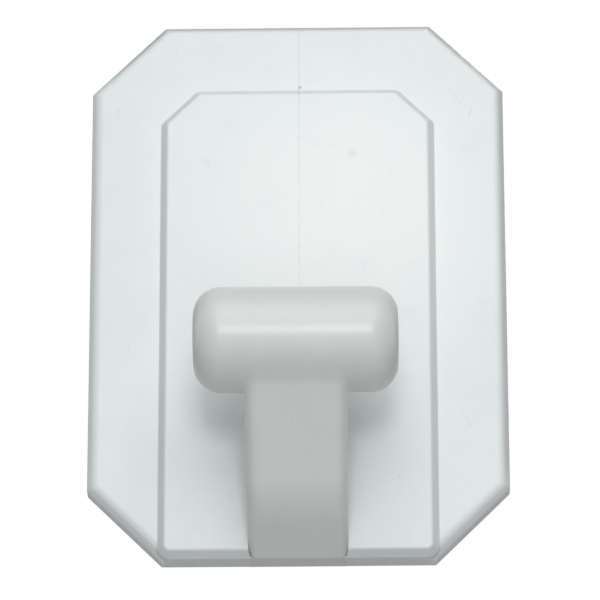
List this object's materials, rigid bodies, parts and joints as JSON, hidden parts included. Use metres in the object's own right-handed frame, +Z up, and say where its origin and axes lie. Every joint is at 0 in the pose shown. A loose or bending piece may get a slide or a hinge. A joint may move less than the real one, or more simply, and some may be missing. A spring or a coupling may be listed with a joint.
{
  "type": "adhesive wall hook",
  "caption": "White plastic wall hook: a J-shaped arm with a barrel tip on an octagonal plate with a raised panel, stuck to the wall by a double-sided foam pad under a split release liner.",
  "frame": {"origin": "middle of the flat rear face that meets the wall, level with the middle of the plate", "axes": "+Z up the wall, +X to the right as seen from the front, +Y into the wall, so the hook projects towards -Y"},
  "size_m": [0.056, 0.0285, 0.0776],
  "materials": {
    "cover_plastic": "satin moulded white with a faint weld line",
    "hook_plastic": "smooth soft-gloss off-white",
    "back_plastic": "plain moulded off-white",
    "adhesive": "clear tacky acrylic layer",
    "foam": "closed-cell white foam",
    "liner_paper": "glazed silicone-coated paper"
  },
  "bodies": {
    "hook_body": {"front_plate": "cover_plastic", "hook": "hook_plastic", "back_plate": "back_plastic", "plate_adhesive": "adhesive", "foam_pad": "foam", "wall_adhesive": "adhesive"},
    "upper_liner": {"liner_upper": "liner_paper"},
    "lower_liner": {"liner_lower": "liner_paper"}
  },
  "joints": [
    {"name": "upper_liner_peel", "type": "slide", "parent": "hook_body", "child": "upper_liner", "axis": [0, 1, 0], "range_m": [0, 0.03]},
    {"name": "lower_liner_peel", "type": "slide", "parent": "hook_body", "child": "lower_liner", "axis": [0, 1, 0], "range_m": [0, 0.03]}
  ]
}
